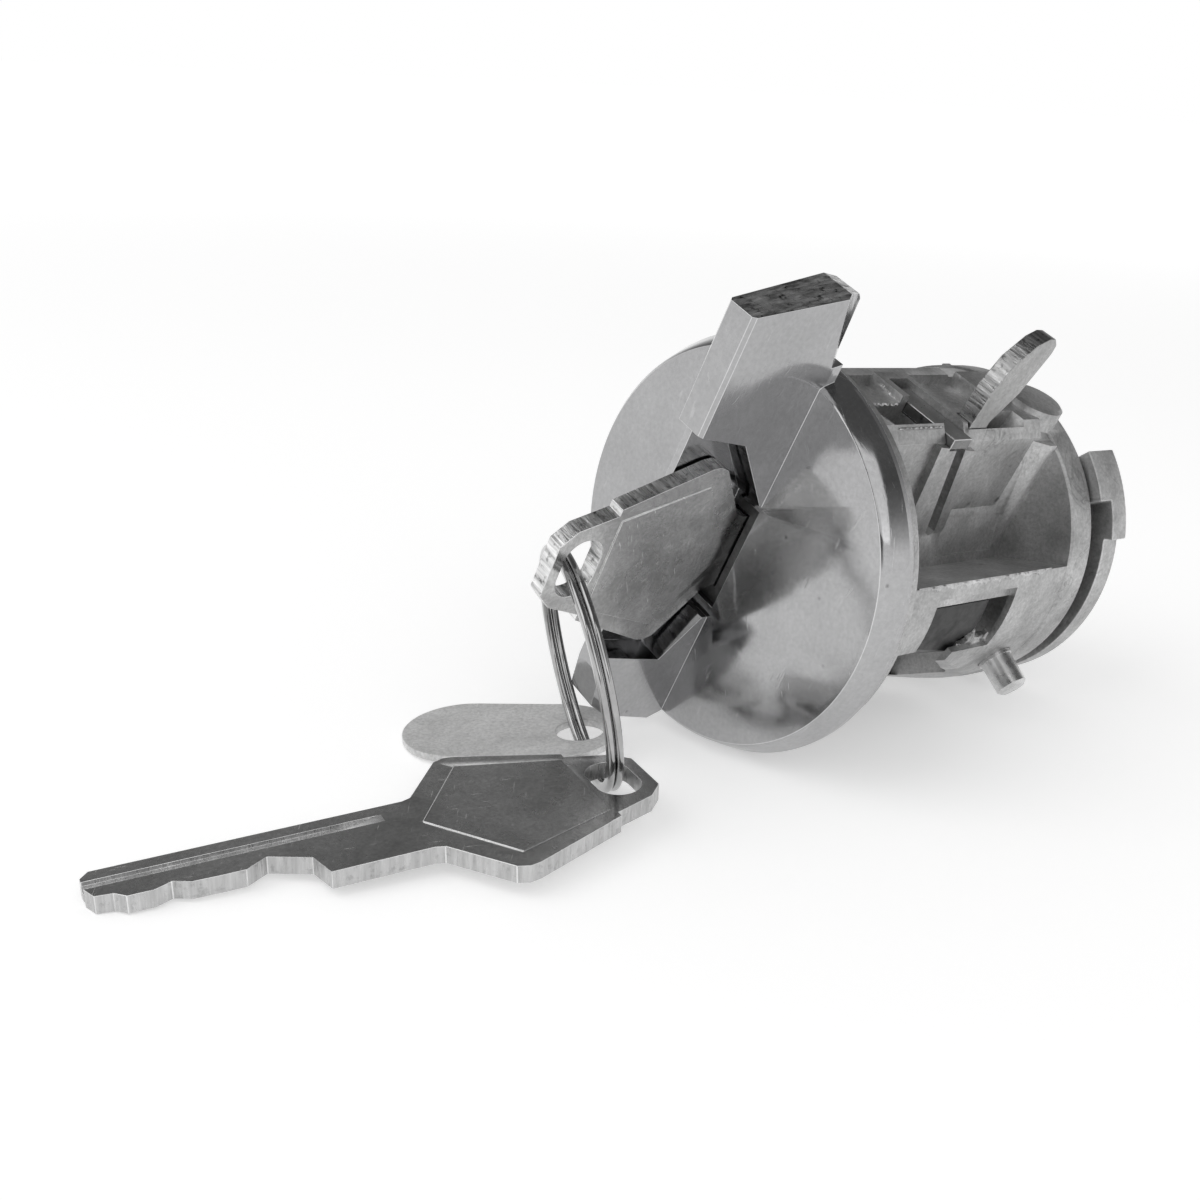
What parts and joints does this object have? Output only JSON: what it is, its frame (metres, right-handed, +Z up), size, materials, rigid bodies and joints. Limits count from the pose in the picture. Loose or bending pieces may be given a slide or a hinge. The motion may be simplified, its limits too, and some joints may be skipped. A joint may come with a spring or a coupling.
{
  "type": "ignition lock cylinder",
  "caption": "Steering column lock cylinder with a turning paddle knob, its key inserted, and a spare key and a blank tag hanging on a split ring.",
  "frame": {"origin": "on the lock's axis in the plane of the flange's rear face, which seats on the column", "axes": "+Z is up from the surface that the lock, the spare key and the tag lie on. +Y runs level along the lock from the knob towards the cam; the lock's own axis leans 5.24 degrees below it to the rear, because it lies on its knob's band and on its smaller rear land. +X is to the right as seen from the knob."},
  "size_m": [0.043, 0.1109, 0.0501],
  "materials": {
    "zinc_casting": "as cast zinc alloy, dull, with flash lines and small pits",
    "chrome_plate": "polished bright chrome plate, finely scratched",
    "tumbler_brass": "stamped plate",
    "spring_wire": "drawn spring wire",
    "bright_steel": "bright, lightly tumbled",
    "dark_steel": "oiled dark steel",
    "nickel_plate": "nickel plate with worn faces and milled edges",
    "tag_metal": "dull stamped sheet"
  },
  "bodies": {
    "housing": {"lock_body": "zinc_casting", "face_washer": "bright_steel", "detent_ball": "bright_steel", "detent_spring": "spring_wire", "pin_spring": "spring_wire", "lever_pivot": "bright_steel", "lever_spring": "spring_wire", "bolt_spring": "spring_wire", "core_sleeve": "dark_steel"},
    "plug": {"plug": "zinc_casting", "turn_knob": "chrome_plate", "tumbler_1": "tumbler_brass", "tumbler_2": "tumbler_brass", "tumbler_3": "tumbler_brass", "tumbler_4": "tumbler_brass", "tumbler_5": "tumbler_brass", "tumbler_6": "tumbler_brass", "tumbler_springs": "spring_wire", "sidebar": "dark_steel", "sidebar_springs": "spring_wire", "drive_cam": "zinc_casting", "cam_washer": "bright_steel", "cam_clip": "dark_steel"},
    "key": {"key": "nickel_plate"},
    "split_ring": {"split_ring": "bright_steel"},
    "spare_key": {"spare_key": "nickel_plate"},
    "tag": {"tag": "tag_metal"},
    "release_lever": {"release_lever": "bright_steel"},
    "cross_bolt": {"cross_bolt": "dark_steel"},
    "retaining_pin": {"retaining_pin": "bright_steel"}
  },
  "joints": [
    {"name": "knob_turn", "type": "hinge", "parent": "housing", "child": "plug", "pos_m": [0, 0, 0], "axis": [0, 0.9958, -0.0913], "range_deg": [-25, 85]},
    {"name": "key_slide", "type": "slide", "parent": "plug", "child": "key", "axis": [0, -0.9958, 0.0913], "range_m": [0, 0.032]},
    {"name": "ring_swing", "type": "hinge", "parent": "key", "child": "split_ring", "pos_m": [0, -0.0243, 0.00223], "axis": [0.9026, -0.4305, 0], "range_deg": [-45, 0]},
    {"name": "spare_key_swing", "type": "hinge", "parent": "split_ring", "child": "spare_key", "pos_m": [-0.00084, -0.02222, -0.00902], "axis": [0.4226, 0.886, 0.1908], "range_deg": [-25, 5]},
    {"name": "tag_swing", "type": "hinge", "parent": "split_ring", "child": "tag", "pos_m": [-0.00084, -0.02222, -0.00902], "axis": [0.4226, 0.886, 0.1908], "range_deg": [-6, 0]},
    {"name": "lever_swing", "type": "hinge", "parent": "housing", "child": "release_lever", "pos_m": [0.00823, 0.01826, 0.00752], "axis": [-0.9336, 0.0327, 0.3569], "range_deg": [0, 25], "stiffness_Nm_per_rad": 0.01, "springref_deg": -11.46},
    {"name": "bolt_slide", "type": "slide", "parent": "housing", "child": "cross_bolt", "axis": [-0.9336, 0.0327, 0.3569], "range_m": [0, 0.0007], "stiffness_N_per_m": 500, "springref_m": -0.0006, "deforming": ["bolt_spring"]},
    {"name": "pin_slide", "type": "slide", "parent": "housing", "child": "retaining_pin", "axis": [-0.766, 0.0587, 0.6401], "range_m": [0, 0.0032], "stiffness_N_per_m": 500, "springref_m": -0.001, "deforming": ["pin_spring"]}
  ]
}
